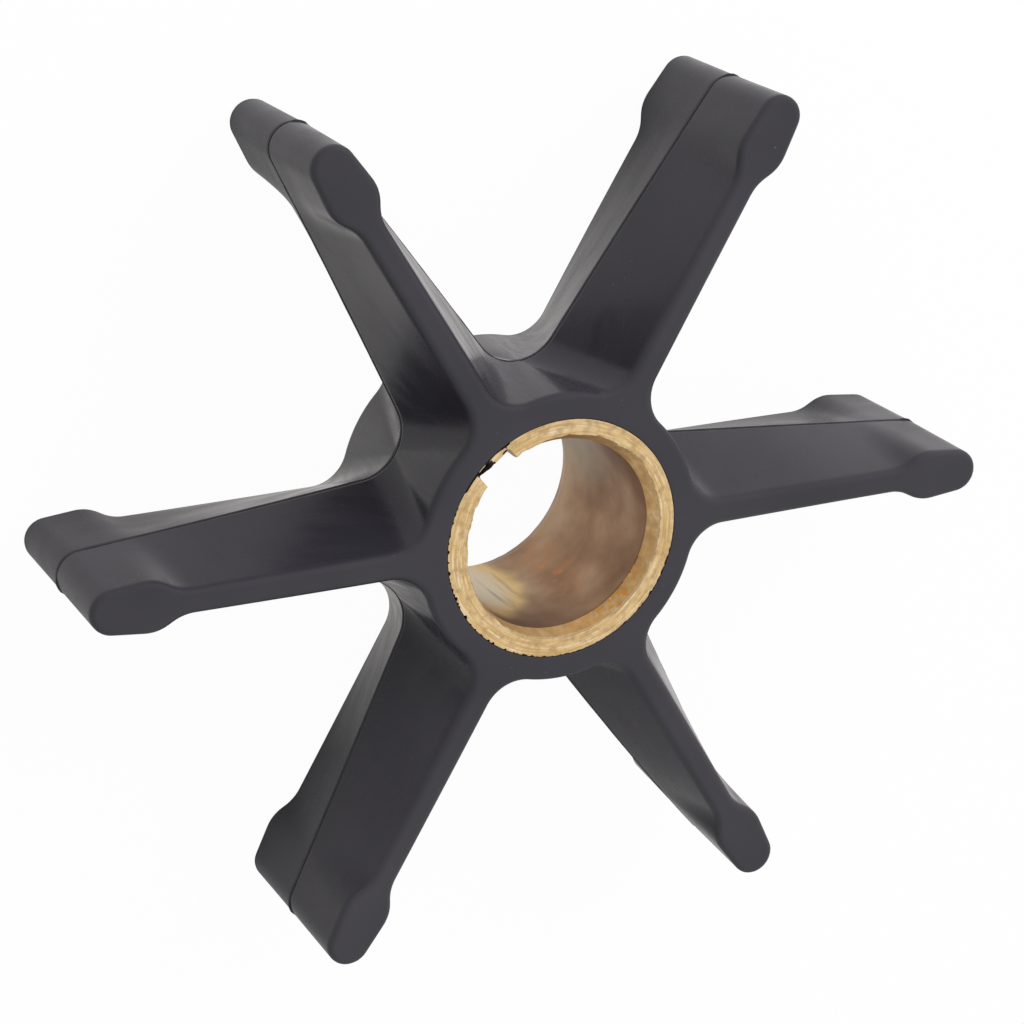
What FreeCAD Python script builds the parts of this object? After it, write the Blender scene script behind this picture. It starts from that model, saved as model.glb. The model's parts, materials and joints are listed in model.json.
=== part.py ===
import FreeCAD, Part
import math
import os
import Sketcher
from FreeCAD import Vector

# Flexible vane impeller of a water pump: one moulded rubber star of straight
# vanes on a hub, bonded round a turned brass bushing with a keyway.
# Z is the shaft axis. The impeller lies on one end face, with the origin at the
# bottom on the axis, and X runs out along one vane.
# The mould parts half way up. Every rubber wall is widest there and leans in
# towards both end faces, so the vanes are six-sided in section.

doc = FreeCAD.newDocument("Impeller")
dims = doc.addObject("Spreadsheet::Sheet", "Dims")

# name, value in millimetres or degrees, what it sets
driving = [
    ("bore_radius", 7.94, "shaft bore of the bushing"),
    ("bushing_wall", 1.86, "wall of the bushing"),
    ("lead_in_width", 0.41, "lead-in at each mouth of the bore, across"),
    ("lead_in_depth", 1.3, "lead-in at each mouth of the bore, along the shaft"),
    ("keyway_width", 3.18, "keyway, side to side"),
    ("keyway_web", 0.6, "metal left between the keyway and the outside"),
    ("keyway_angle", 129.2, "direction of the keyway, from the first vane"),
    ("face_height", 16.9, "bushing and rubber, end face to end face"),
    ("bond_gap", 0.03, "film of bonding agent round the bushing"),
    ("hub_wall", 1.87, "rubber round the bushing at an end face"),
    ("hub_draft", 0.4, "how much the hub swells at the parting plane"),
    ("vane_count", 6, "vanes round the hub"),
    ("tip_radius", 38.1, "axis to vane tip at the parting plane"),
    ("tip_draft", 0.1, "how much the tip draws in at an end face"),
    ("tip_round", 1.6, "round of the tip at an end face"),
    ("tip_swell", 0.35, "how much larger that round is at the parting plane"),
    ("bead_length", 5.0, "tip to the shoulder of the sealing bead"),
    ("bead_half", 1.96, "half the bead's width at its shoulder"),
    ("bead_blend", 0.45, "set-back of the round on the shoulder"),
    ("neck_length", 2.0, "shoulder to the neck behind it"),
    ("neck_blend", 1.0, "set-back of the hollow at the neck"),
    ("strip_half", 0.74, "half the vane's width at an end face"),
    ("root_half", 4.3, "half the vane's width at the hub's parting plane"),
    ("valley_round", 3.4, "round between vane and hub at an end face"),
    ("valley_close", 4.0, "last degrees of the valley's round, where the hub's side fans out"),
    ("flash_proud", 0.2, "how far the parting line stands out"),
    ("flash_width", 0.3, "parting line, along the shaft"),
]
for row, (name, value, note) in enumerate(driving, start=1):
    dims.set(f"A{row}", str(value))
    dims.setAlias(f"A{row}", name)
    dims.set(f"B{row}", note)
doc.recompute()

# places worked out from the sizes above, as expressions over the sheet
HALF_HEIGHT = "Dims.face_height / 2"
HALF_PITCH = "180 / Dims.vane_count"
BUSHING_RADIUS = "Dims.bore_radius + Dims.bushing_wall"
LEAD_IN_RADIUS = "Dims.bore_radius + Dims.lead_in_width"
KEYWAY_FLOOR = f"{BUSHING_RADIUS} - Dims.keyway_web"
SEAT_RADIUS = f"{BUSHING_RADIUS} + Dims.bond_gap"
FACE_HUB = f"{BUSHING_RADIUS} + Dims.hub_wall"
PARTING_HUB = f"{FACE_HUB} + Dims.hub_draft"
FACE_TIP = "Dims.tip_radius - Dims.tip_draft"
PARTING_ROUND = "Dims.tip_round + Dims.tip_swell"
SHOULDER = "Dims.tip_radius - Dims.bead_length"
NECK = f"{SHOULDER} - Dims.neck_length"

# directions from the centre of a valley's round, where the fan begins and parts
FAN_START = f"180 + {HALF_PITCH} + Dims.valley_close"
FAN_MIDDLE = f"180 + {HALF_PITCH} + Dims.valley_close / 2"

# rough sizes for a sketch's first drawing, which its constraints then correct
SIDE_LEAN = 85
SLOPE_LEAN = 118
CROWN_SIZE = 1.0
THROAT_SIZE = 3.5
VALLEY_SIZE = 3.9

START, END, CENTRE = 1, 2, 3
ORIGIN = (-1, 1)
X_AXIS = -1


def worth(expression):
    """The present value of an expression over the sheet."""
    return float(dims.evalExpression(expression))


def plane(body, role):
    """One of a body's own origin planes or axes."""
    for feature in body.Origin.OriginFeatures:
        if feature.Role == role:
            return feature


def new_sketch(body, name, role, height=None):
    sketch = body.newObject("Sketcher::SketchObject", name)
    sketch.AttachmentSupport = [(plane(body, role), "")]
    sketch.MapMode = "FlatFace"
    if height:
        sketch.setExpression("AttachmentOffset.Base.z", height)
    return sketch


def tie(sketch, kind, *places):
    """A constraint with no value, such as Tangent."""
    sketch.addConstraint(Sketcher.Constraint(kind, *places))


def length(sketch, kind, *places, to):
    """A length constraint that follows an expression."""
    number = sketch.addConstraint(Sketcher.Constraint(kind, *places, worth(to)))
    sketch.setExpression(f"Constraints[{number}]", to)


def direction(sketch, line, to):
    """The angle of a line from X that follows an expression in degrees."""
    number = sketch.addConstraint(
        Sketcher.Constraint("Angle", line, math.radians(worth(to)))
    )
    sketch.setExpression(f"Constraints[{number}]", f"({to}) * 1 deg")


def line(sketch, start, end, helper=False):
    return sketch.addGeometry(Part.LineSegment(Vector(*start), Vector(*end)), helper)


def arc(sketch, centre, radius, start, end):
    """An arc drawn anticlockwise between two directions in degrees."""
    circle = Part.Circle(Vector(*centre), Vector(0, 0, 1), radius)
    return sketch.addGeometry(
        Part.ArcOfCircle(circle, math.radians(start), math.radians(end))
    )


def polar(radius, degrees, centre=(0, 0)):
    turn = math.radians(degrees)
    return (centre[0] + radius * math.cos(turn), centre[1] + radius * math.sin(turn))


def mark(sketch, x, y, *lines):
    """A helper point at a place that the given lines pass through."""
    point = sketch.addGeometry(Part.Point(Vector(worth(x), worth(y), 0)), True)
    length(sketch, "DistanceX", *ORIGIN, point, START, to=x)
    length(sketch, "DistanceY", *ORIGIN, point, START, to=y)
    for passing in lines:
        tie(sketch, "PointOnObject", point, START, passing)
    return point


def spoke(sketch, curve, to):
    """A helper line from an arc's centre to its start, at a direction."""
    heart = sketch.getPoint(curve, CENTRE)
    rim = sketch.getPoint(curve, START)
    ray = line(sketch, (heart.x, heart.y), (rim.x, rim.y), helper=True)
    tie(sketch, "Coincident", ray, START, curve, CENTRE)
    tie(sketch, "Coincident", ray, END, curve, START)
    direction(sketch, ray, to)


def middle_line(sketch, reach):
    """The vane's middle line, out from the axis along X to the tip."""
    middle = line(sketch, (0, 0), (worth(reach), 0))
    tie(sketch, "Coincident", middle, START, *ORIGIN)
    tie(sketch, "PointOnObject", middle, END, X_AXIS)
    length(sketch, "DistanceX", *ORIGIN, middle, END, to=reach)
    return middle


def tip_arc(sketch, middle, reach, radius):
    """The rounded tip, from the middle line round to the vane's side."""
    size = worth(radius)
    tip = arc(sketch, (worth(reach) - size, 0), size, 0, SIDE_LEAN)
    tie(sketch, "Coincident", tip, START, middle, END)
    tie(sketch, "PointOnObject", tip, CENTRE, X_AXIS)
    length(sketch, "Radius", tip, to=radius)
    return tip


def pitch_line(sketch, reach):
    """The line half way between two vanes, out from the axis to the hub."""
    valley = line(sketch, (0, 0), polar(worth(reach), worth(HALF_PITCH)))
    tie(sketch, "Coincident", valley, START, *ORIGIN)
    direction(sketch, valley, HALF_PITCH)
    return valley


def draw_face(sketch):
    """Half a vane and its share of the hub, as they show on an end face."""
    middle = middle_line(sketch, FACE_TIP)
    tip = tip_arc(sketch, middle, FACE_TIP, "Dims.tip_round")
    tip_size = worth("Dims.tip_round")
    shoulder = (worth(SHOULDER), worth("Dims.bead_half"))
    neck = (worth(NECK), worth("Dims.strip_half"))
    blend = worth("Dims.bead_blend")
    hollow = worth("Dims.neck_blend")

    side = line(sketch, (worth(FACE_TIP) - tip_size, tip_size), (shoulder[0] + blend, shoulder[1]))
    crown_centre = (shoulder[0], shoulder[1] - CROWN_SIZE)
    crown = arc(sketch, crown_centre, CROWN_SIZE, SIDE_LEAN, SLOPE_LEAN)
    throat_centre = (neck[0] - hollow, neck[1] + THROAT_SIZE)
    slope_end = polar(THROAT_SIZE, 180 + SLOPE_LEAN, throat_centre)
    slope = line(sketch, polar(CROWN_SIZE, SLOPE_LEAN, crown_centre), slope_end)
    throat = arc(sketch, throat_centre, THROAT_SIZE, 270, 180 + SLOPE_LEAN)
    tie(sketch, "Tangent", tip, END, side, START)
    tie(sketch, "Tangent", side, END, crown, START)
    tie(sketch, "Tangent", crown, END, slope, START)
    tie(sketch, "Tangent", slope, END, throat, END)

    hub = worth(FACE_HUB)
    fillet = worth("Dims.valley_round")
    lift = neck[1] + fillet
    lean = math.degrees(math.asin(lift / (hub + fillet)))
    root = polar(hub + fillet, lean)
    strip = line(sketch, (neck[0] - hollow, neck[1]), (root[0], neck[1]))
    bend = arc(sketch, root, fillet, worth(FAN_START), 270)
    curl = arc(sketch, root, fillet, 180 + lean, worth(FAN_START))
    rim = arc(sketch, (0, 0), hub, lean, worth(HALF_PITCH))
    pitch = pitch_line(sketch, FACE_HUB)
    tie(sketch, "Tangent", throat, START, strip, START)
    tie(sketch, "Horizontal", strip)
    tie(sketch, "Tangent", strip, END, bend, END)
    tie(sketch, "Coincident", curl, CENTRE, bend, CENTRE)
    tie(sketch, "Coincident", curl, END, bend, START)
    spoke(sketch, bend, FAN_START)
    tie(sketch, "Tangent", curl, START, rim, START)
    tie(sketch, "Coincident", rim, CENTRE, *ORIGIN)
    tie(sketch, "Coincident", rim, END, pitch, END)
    length(sketch, "Radius", bend, to="Dims.valley_round")
    length(sketch, "Radius", rim, to=FACE_HUB)

    corner = mark(sketch, SHOULDER, "Dims.bead_half", side, slope)
    inner = mark(sketch, NECK, "Dims.strip_half", slope, strip)
    length(sketch, "Distance", corner, START, crown, START, to="Dims.bead_blend")
    length(sketch, "Distance", inner, START, throat, START, to="Dims.neck_blend")


def draw_parting(sketch, proud="0", breaks=()):
    """The same half vane at the parting plane, where its side is straight.

    proud sets the whole outline out, and breaks are the places along the side
    where it is divided to match the outline of the end face.
    """
    reach = f"Dims.tip_radius + {proud}"
    valley_reach = f"{PARTING_HUB} + {proud}"
    root = (worth(valley_reach), worth(f"Dims.root_half + {proud}"))
    middle = middle_line(sketch, reach)
    tip = tip_arc(sketch, middle, reach, f"{PARTING_ROUND} + {proud}")

    taper = (root[1] - worth(PARTING_ROUND)) / (worth(reach) - root[0])
    half_pitch = worth(HALF_PITCH)
    foot = polar(worth(valley_reach) + VALLEY_SIZE, half_pitch)
    first = worth(reach) - worth(PARTING_ROUND)
    stops = [first] + [worth(place) for place in breaks] + [foot[0]]
    heights = [root[1] - taper * (stop - root[0]) for stop in stops]
    sides = [
        line(sketch, (stops[i], heights[i]), (stops[i + 1], heights[i + 1]))
        for i in range(len(stops) - 1)
    ]
    tie(sketch, "Tangent", tip, END, sides[0], START)
    for before, after in zip(sides, sides[1:]):
        tie(sketch, "Tangent", before, END, after, START)
    for piece, place in zip(sides, breaks):
        length(sketch, "DistanceX", *ORIGIN, piece, END, to=place)
    mark(sketch, valley_reach, f"Dims.root_half + {proud}", sides[-1])

    pitch = pitch_line(sketch, valley_reach)
    length(sketch, "Distance", pitch, to=valley_reach)
    if breaks:
        bend = arc(sketch, foot, VALLEY_SIZE, worth(FAN_START), 180 + SIDE_LEAN)
        curl = arc(sketch, foot, VALLEY_SIZE, worth(FAN_MIDDLE), worth(FAN_START))
        rim = arc(sketch, foot, VALLEY_SIZE, 180 + half_pitch, worth(FAN_MIDDLE))
        for before, after in ((bend, curl), (curl, rim)):
            tie(sketch, "Coincident", after, CENTRE, before, CENTRE)
            tie(sketch, "Coincident", after, END, before, START)
        spoke(sketch, bend, FAN_START)
        spoke(sketch, curl, FAN_MIDDLE)
    else:
        bend = arc(sketch, foot, VALLEY_SIZE, 180 + half_pitch, 180 + SIDE_LEAN)
        rim = bend
    tie(sketch, "Tangent", sides[-1], END, bend, END)
    tie(sketch, "PointOnObject", bend, CENTRE, pitch)
    tie(sketch, "Coincident", rim, START, pitch, END)


def whole(body, kind, name):
    """A mirror or a pattern of all that the body holds so far."""
    feature = body.newObject(kind, name)
    feature.TransformMode = "Whole shape"
    return feature


def make_vanes():
    """The moulded rubber: half a vane above the parting plane, then its copies."""
    body = doc.addObject("PartDesign::Body", "Vanes")
    body.Label = "rubber_vanes"
    parting = new_sketch(body, "PartingOutline", "XY_Plane")
    breaks = (
        f"{SHOULDER} + Dims.bead_blend",
        f"{SHOULDER} - Dims.bead_blend",
        f"{NECK} + Dims.neck_blend",
        f"{NECK} - Dims.neck_blend",
    )
    draw_parting(parting, breaks=breaks)
    face = new_sketch(body, "FaceOutline", "XY_Plane", HALF_HEIGHT)
    draw_face(face)
    doc.recompute()

    loft = body.newObject("PartDesign::AdditiveLoft", "HalfVane")
    loft.Profile = parting
    loft.Sections = [face]
    loft.Ruled = True

    flash = new_sketch(body, "FlashOutline", "XY_Plane")
    draw_parting(flash, proud="Dims.flash_proud")
    line_pad = body.newObject("PartDesign::Pad", "PartingLine")
    line_pad.Profile = flash
    line_pad.setExpression("Length", "Dims.flash_width / 2")
    doc.recompute()

    across = whole(body, "PartDesign::Mirrored", "OtherSide")
    across.MirrorPlane = (plane(body, "XZ_Plane"), [""])
    body.Tip = across
    below = whole(body, "PartDesign::Mirrored", "LowerHalf")
    below.MirrorPlane = (plane(body, "XY_Plane"), [""])
    body.Tip = below
    round_hub = whole(body, "PartDesign::PolarPattern", "RoundTheHub")
    round_hub.Axis = (plane(body, "Z_Axis"), [""])
    round_hub.Angle = 360
    round_hub.setExpression("Occurrences", "Dims.vane_count")
    body.Tip = round_hub
    doc.recompute()

    seat = new_sketch(body, "BushingSeat", "XY_Plane")
    circle = seat.addGeometry(Part.Circle(Vector(), Vector(0, 0, 1), worth(SEAT_RADIUS)))
    tie(seat, "Coincident", circle, CENTRE, *ORIGIN)
    length(seat, "Radius", circle, to=SEAT_RADIUS)
    hole = body.newObject("PartDesign::Pocket", "BushingHole")
    hole.Profile = seat
    hole.Midplane = True
    hole.setExpression("Length", "2 * Dims.face_height")
    body.setExpression("Placement.Base.z", HALF_HEIGHT)
    return body


def closed_outline(sketch, corners):
    """Straight lines through corners that are given as pairs of expressions."""
    points = [(worth(x), worth(y)) for x, y in corners]
    lines = [
        line(sketch, points[i], points[(i + 1) % len(points)])
        for i in range(len(points))
    ]
    for i, (x, y) in enumerate(corners):
        tie(sketch, "Coincident", lines[i - 1], END, lines[i], START)
        length(sketch, "DistanceX", *ORIGIN, lines[i], START, to=x)
        length(sketch, "DistanceY", *ORIGIN, lines[i], START, to=y)


def make_bushing():
    """The turned brass bushing, with a lead-in at both mouths and its keyway."""
    body = doc.addObject("PartDesign::Body", "Bushing")
    body.Label = "brass_bushing"
    section = new_sketch(body, "Section", "XZ_Plane")
    top = HALF_HEIGHT
    bottom = f"-{HALF_HEIGHT}"
    closed_outline(section, [
        (LEAD_IN_RADIUS, bottom),
        (BUSHING_RADIUS, bottom),
        (BUSHING_RADIUS, top),
        (LEAD_IN_RADIUS, top),
        ("Dims.bore_radius", f"{top} - Dims.lead_in_depth"),
        ("Dims.bore_radius", f"{bottom} + Dims.lead_in_depth"),
    ])
    turned = body.newObject("PartDesign::Revolution", "Turned")
    turned.Profile = section
    turned.ReferenceAxis = (section, ["V_Axis"])
    turned.Angle = 360

    slot = new_sketch(body, "KeywayOutline", "XY_Plane")
    half = "Dims.keyway_width / 2"
    closed_outline(slot, [
        ("0", f"-{half}"),
        (KEYWAY_FLOOR, f"-{half}"),
        (KEYWAY_FLOOR, half),
        ("0", half),
    ])
    keyway = body.newObject("PartDesign::Pocket", "Keyway")
    keyway.Profile = slot
    keyway.Midplane = True
    keyway.setExpression("Length", "2 * Dims.face_height")
    body.setExpression("Placement.Base.z", HALF_HEIGHT)
    body.setExpression("Placement.Rotation.Angle", "Dims.keyway_angle * 1 deg")
    return body


def check(bodies):
    for item in doc.Objects:
        if "Invalid" in item.State or "Error" in item.State:
            raise RuntimeError(f"{item.Name} did not build: {item.State}")
    for body in bodies:
        if body.Shape.isNull() or not body.Shape.isValid():
            raise RuntimeError(f"{body.Label} has no valid shape")
        print(body.Label, "volume", round(body.Shape.Volume, 2), "mm3,", len(body.Shape.Solids), "solid")


bodies = [make_vanes(), make_bushing()]
doc.recompute()
check(bodies)
os.makedirs("parts", exist_ok=True)
for body in bodies:
    body.Shape.exportStep(f"parts/{body.Label}.step")
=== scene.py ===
import json
import math

import bmesh
import bpy
from mathutils import Matrix, Vector, noise


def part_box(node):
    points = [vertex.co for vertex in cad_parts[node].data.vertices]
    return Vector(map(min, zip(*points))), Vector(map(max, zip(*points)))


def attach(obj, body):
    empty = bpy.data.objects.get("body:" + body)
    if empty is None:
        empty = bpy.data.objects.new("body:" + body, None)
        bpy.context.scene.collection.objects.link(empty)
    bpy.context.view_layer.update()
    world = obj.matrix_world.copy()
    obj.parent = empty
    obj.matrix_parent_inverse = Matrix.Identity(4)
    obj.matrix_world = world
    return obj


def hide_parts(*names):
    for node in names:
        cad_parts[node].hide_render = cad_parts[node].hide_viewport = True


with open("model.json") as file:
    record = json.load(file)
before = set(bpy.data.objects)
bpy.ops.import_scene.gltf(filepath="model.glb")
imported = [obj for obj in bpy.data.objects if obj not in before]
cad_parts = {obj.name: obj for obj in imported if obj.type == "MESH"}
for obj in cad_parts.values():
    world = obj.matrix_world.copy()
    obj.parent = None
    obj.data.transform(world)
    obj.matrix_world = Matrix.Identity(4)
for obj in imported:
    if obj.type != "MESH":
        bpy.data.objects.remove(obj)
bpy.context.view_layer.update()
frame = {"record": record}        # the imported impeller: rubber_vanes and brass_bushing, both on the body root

mm = 0.001

rubberLow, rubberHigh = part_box("rubber_vanes")
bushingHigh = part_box("brass_bushing")[1]
halfHeight = (rubberHigh.z - rubberLow.z) / 2 / mm
bushingRadius = bushingHigh.x / mm
mounts = {mount["name"]: mount for mount in frame["record"]["mounts"]}
boreRadius = mounts["shaft_bore"]["dims"]["r_mm"]
keywaySpot = mounts["keyway"]["pos_m"]
keywayTurn = math.atan2(keywaySpot[1], keywaySpot[0])

print("frame read: half height", round(halfHeight, 2), "mm, bushing radius", round(bushingRadius, 2), "mm")


# helpers for outlines, all in millimetres and in the plane across the shaft

def arcPoints(centre, radius, start, end, steps):
    turns = [math.radians(start + (end - start) * i / steps) for i in range(steps)]
    return [(centre[0] + radius * math.cos(a), centre[1] + radius * math.sin(a)) for a in turns]


def runPoints(start, end, steps):
    return [
        (start[0] + (end[0] - start[0]) * i / steps, start[1] + (end[1] - start[1]) * i / steps)
        for i in range(steps)
    ]


def bendPoints(start, corner, end, steps):    # a round corner, as a quadratic curve
    points = []
    for i in range(steps):
        t = i / steps
        a, b, c = (1 - t) ** 2, 2 * t * (1 - t), t * t
        points.append((a * start[0] + b * corner[0] + c * end[0], a * start[1] + b * corner[1] + c * end[1]))
    return points


def towards(start, end, distance):
    length = math.dist(start, end)
    return (
        start[0] + (end[0] - start[0]) * distance / length,
        start[1] + (end[1] - start[1]) * distance / length,
    )


def touchTurn(centre, radius, point):    # where a line from the point touches a circle, in degrees
    aim = math.atan2(point[1] - centre[1], point[0] - centre[0])
    return math.degrees(aim - math.acos(radius / math.dist(centre, point)))


def polar(radius, degrees, centre=(0, 0)):
    turn = math.radians(degrees)
    return (centre[0] + radius * math.cos(turn), centre[1] + radius * math.sin(turn))


# helpers for meshes

def startClean():
    if bpy.context.object and bpy.context.object.mode != "OBJECT":
        bpy.ops.object.mode_set(mode="OBJECT")
    bpy.ops.object.select_all(action="DESELECT")


def extrudeRow(piece, row, spots):
    # extrudes one row of vertices and puts each new vertex at its own spot
    cage = bmesh.from_edit_mesh(piece.data)
    cage.verts.ensure_lookup_table()
    for face in cage.faces:
        face.select = False
    for edge in cage.edges:
        edge.select = False
    for vertex in cage.verts:
        vertex.select = False
    for i, index in enumerate(row):
        edge = cage.edges.get((cage.verts[index], cage.verts[row[i - 1]]))
        edge.select_set(True)
    bpy.ops.mesh.extrude_edges_move()
    cage = bmesh.from_edit_mesh(piece.data)
    cage.verts.index_update()
    cage.verts.ensure_lookup_table()
    grown = []
    for index, spot in zip(row, spots):
        old = cage.verts[index]
        fresh = [edge.other_vert(old) for edge in old.link_edges if edge.other_vert(old).select][0]
        fresh.co = Vector(spot) * mm
        grown.append(fresh.index)
    bmesh.update_edit_mesh(piece.data)
    return grown


def modelRows(name, rows):
    # a ring of vertices is laid on the first row, then extruded from row to row
    startClean()
    bpy.ops.mesh.primitive_circle_add(vertices=len(rows[0]), radius=10 * mm, fill_type="NOTHING")
    piece = bpy.context.object
    piece.name = name
    for vertex, spot in zip(piece.data.vertices, rows[0]):
        vertex.co = Vector(spot) * mm
    bpy.ops.object.mode_set(mode="EDIT")
    bpy.ops.mesh.select_mode(type="VERT")
    row = list(range(len(rows[0])))
    for spots in rows[1:]:
        row = extrudeRow(piece, row, spots)
    return piece


def mergeAndFace():    # in edit mode: merges doubles and turns all faces outwards
    bpy.ops.mesh.select_all(action="SELECT")
    bpy.ops.mesh.remove_doubles(threshold=0.002 * mm)
    bpy.ops.mesh.normals_make_consistent(inside=False)
    bpy.ops.mesh.select_all(action="DESELECT")


# the rubber: a star of six straight vanes, widest at the mould's parting plane

vane = {                     # millimetres, and degrees where a note says so
    "count": 6,
    "tipDraft": 0.1,         # the tip draws in at an end face
    "tipRound": 1.6,
    "tipSwell": 0.35,        # the tip's round is larger at the parting plane
    "beadLength": 5.0,
    "beadHalf": 1.96,
    "beadBlend": 1.0,
    "neckLength": 2.0,
    "neckBlend": 1.0,
    "stripHalf": 0.74,
    "rootHalf": 4.3,
    "valleyRound": 3.4,
    "valleyClose": 4.0,      # the last degrees of the valley's round
    "hubWall": 1.87,
    "hubDraft": 0.4,
    "flashProud": 0.2,       # how far the flash stands out where a tag of it is left
    "flashTrim": 0.04,       # and where it was trimmed
    "flashHalf": 0.05,
    "flashGroove": 0.03,     # the mould halves' edges leave a shallow groove each side of it
    "tagProud": 0.12,
    "tagHalf": 0.8,
    "rimRound": 0.45,        # the edge between side and end face is moulded soft
    "rimSwell": 0.15,        # and swells out this much to keep the face's outline
    "skin": 0.03,
    "seatGap": 0.03,
    "seatEdge": 0.05,
    "tags": ((0, 78), (1, 25), (2, -47), (3, 21), (4, -43), (5, 12)),    # vane, and degrees round its tip
    "leanStart": 11.5,       # from the shaft's axis; past it each soft vane has set sideways
    # how far each tip has set, at its front and at its back face, and how late the vane bends
    "lean": (
        (-0.13, -0.25, 2.6),
        (-0.2, -0.58, 1.8),
        (0.27, 0.37, 2.2),
        (-0.25, -0.28, 2.1),
        (-0.26, -0.25, 1.5),
        (-0.02, 1.35, 3.3),
    ),
    # the mesh: rows above the flash, shares up the side, degrees round the soft edge, shares across the face
    "flashRows": (0.02, 0.07, 0.12, 0.3),
    "sideRows": (0.12, 0.3, 0.5, 0.7, 0.88, 0.97),
    "rimTurns": (0, 22.5, 45, 67.5, 90),
    "seatTurns": (30, 60, 90),
    "rimInset": 0.1,
    "capRows": (0.4, 1),
}
# points along each stretch of half a vane's outline
stepsAlong = {
    "tip": 10, "side": 5, "crown": 6, "slope": 3, "throat": 8, "strip": 18, "bend": 12, "curl": 5, "rim": 8,
}

tipRadius = rubberHigh.x / mm - vane["flashProud"]
halfPitch = 180 / vane["count"]
shoulderPlace = tipRadius - vane["beadLength"]
neckPlace = shoulderPlace - vane["neckLength"]
seatRadius = bushingRadius + vane["seatGap"]
faceHub = bushingRadius + vane["hubWall"]
partingHub = faceHub + vane["hubDraft"]
fanStart = 180 + halfPitch + vane["valleyClose"]
fanMiddle = 180 + halfPitch + vane["valleyClose"] / 2


def faceOutline():    # half a vane on an end face, from its tip to the middle of the valley
    n = stepsAlong
    tipCentre = (tipRadius - vane["tipDraft"] - vane["tipRound"], 0)
    shoulder = (shoulderPlace, vane["beadHalf"])
    neck = (neckPlace, vane["stripHalf"])
    touch = touchTurn(tipCentre, vane["tipRound"], shoulder)
    sideStart = polar(vane["tipRound"], touch, tipCentre)
    crownStart = towards(shoulder, sideStart, vane["beadBlend"])
    crownEnd = towards(shoulder, neck, vane["beadBlend"])
    throatStart = towards(neck, shoulder, vane["neckBlend"])
    throatEnd = (neck[0] - vane["neckBlend"], neck[1])
    lift = vane["stripHalf"] + vane["valleyRound"]
    lean = math.degrees(math.asin(lift / (faceHub + vane["valleyRound"])))
    root = polar(faceHub + vane["valleyRound"], lean)
    return (
        arcPoints(tipCentre, vane["tipRound"], 0, touch, n["tip"])
        + runPoints(sideStart, crownStart, n["side"])
        + bendPoints(crownStart, shoulder, crownEnd, n["crown"])
        + runPoints(crownEnd, throatStart, n["slope"])
        + bendPoints(throatStart, neck, throatEnd, n["throat"])
        + runPoints(throatEnd, (root[0], vane["stripHalf"]), n["strip"])
        + arcPoints(root, vane["valleyRound"], 270, fanStart, n["bend"])
        + arcPoints(root, vane["valleyRound"], fanStart, 180 + lean, n["curl"])
        + arcPoints((0, 0), faceHub, lean, halfPitch, n["rim"])
        + [polar(faceHub, halfPitch)]
    )


def partingOutline(outline):    # the same half vane where the mould parts: its side is straight
    n = stepsAlong
    tipRound = vane["tipRound"] + vane["tipSwell"]
    tipCentre = (tipRadius - tipRound, 0)
    rootPoint = (partingHub, vane["rootHalf"])
    touch = touchTurn(tipCentre, tipRound, rootPoint)
    sideStart = polar(tipRound, touch, tipCentre)
    slope = (rootPoint[1] - sideStart[1]) / (rootPoint[0] - sideStart[0])
    across = Vector((-slope, 1)).normalized()
    pitch = Vector(polar(1, halfPitch))
    closeness = across.dot(pitch)
    valley = (partingHub * closeness - across.dot(Vector(rootPoint))) / (1 - closeness)
    centre = polar(partingHub + valley, halfPitch)
    start = math.degrees(math.atan2(-across.y, -across.x)) % 360

    # from the bead to the strip each point lies straight across from the end face's own
    first = n["tip"] + n["side"]
    last = first + n["crown"] + n["slope"] + n["throat"]
    places = [place for place, _ in outline[first:last + 1]]
    straight = [(place, rootPoint[1] + slope * (place - rootPoint[0])) for place in places]
    return (
        arcPoints(tipCentre, tipRound, 0, touch, n["tip"])
        + runPoints(sideStart, straight[0], n["side"])
        + straight[:-1]
        + runPoints(straight[-1], polar(valley, start, centre), n["strip"])
        + arcPoints(centre, valley, start, fanStart, n["bend"])
        + arcPoints(centre, valley, fanStart, fanMiddle, n["curl"])
        + arcPoints(centre, valley, fanMiddle, 180 + halfPitch, n["rim"])
        + [polar(partingHub, halfPitch)]
    )


def capTargets(outline):    # where each outline point's line across the end face ends
    n = stepsAlong
    stripEnd = n["tip"] + n["side"] + n["crown"] + n["slope"] + n["throat"] + n["strip"]
    rim = seatRadius + vane["seatEdge"]
    inward = outline[stripEnd][0] - rim
    total = inward + rim * math.radians(halfPitch)
    tipCentre = tipRadius - vane["tipDraft"] - vane["tipRound"]
    ways = [total * (i - stripEnd) / (len(outline) - 1 - stripEnd) for i in range(stripEnd, len(outline))]
    corner = min(range(len(ways)), key=lambda i: abs(ways[i] - inward))    # where line and rim meet
    targets = [(min(point[0], tipCentre), 0) for point in outline[:stripEnd]]
    targets += [(outline[stripEnd][0] - way, 0) for way in ways[:corner]]
    targets += [polar(rim, max(math.degrees((way - inward) / rim), 0)) for way in ways[corner:]]
    targets[stripEnd + corner] = (rim, 0)
    return targets


def wholeStar(half):    # the half vane's points, mirrored and set round the hub
    loop = []
    for k in range(vane["count"]):
        turn = Matrix.Rotation(math.radians(360 * k / vane["count"]), 2)
        lower = [(x, -y) for x, y in half[:0:-1]]
        for point in lower + half[:-1]:
            loop.append(tuple(turn @ Vector(point)))
    return loop


def outwards(loop):    # the direction straight out of a closed outline at each point
    ways = []
    for i, point in enumerate(loop):
        before, after = Vector(loop[i - 1]), Vector(loop[(i + 1) % len(loop)])
        along = (after - before).normalized()
        ways.append(Vector((along.y, -along.x)))
    return ways


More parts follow.
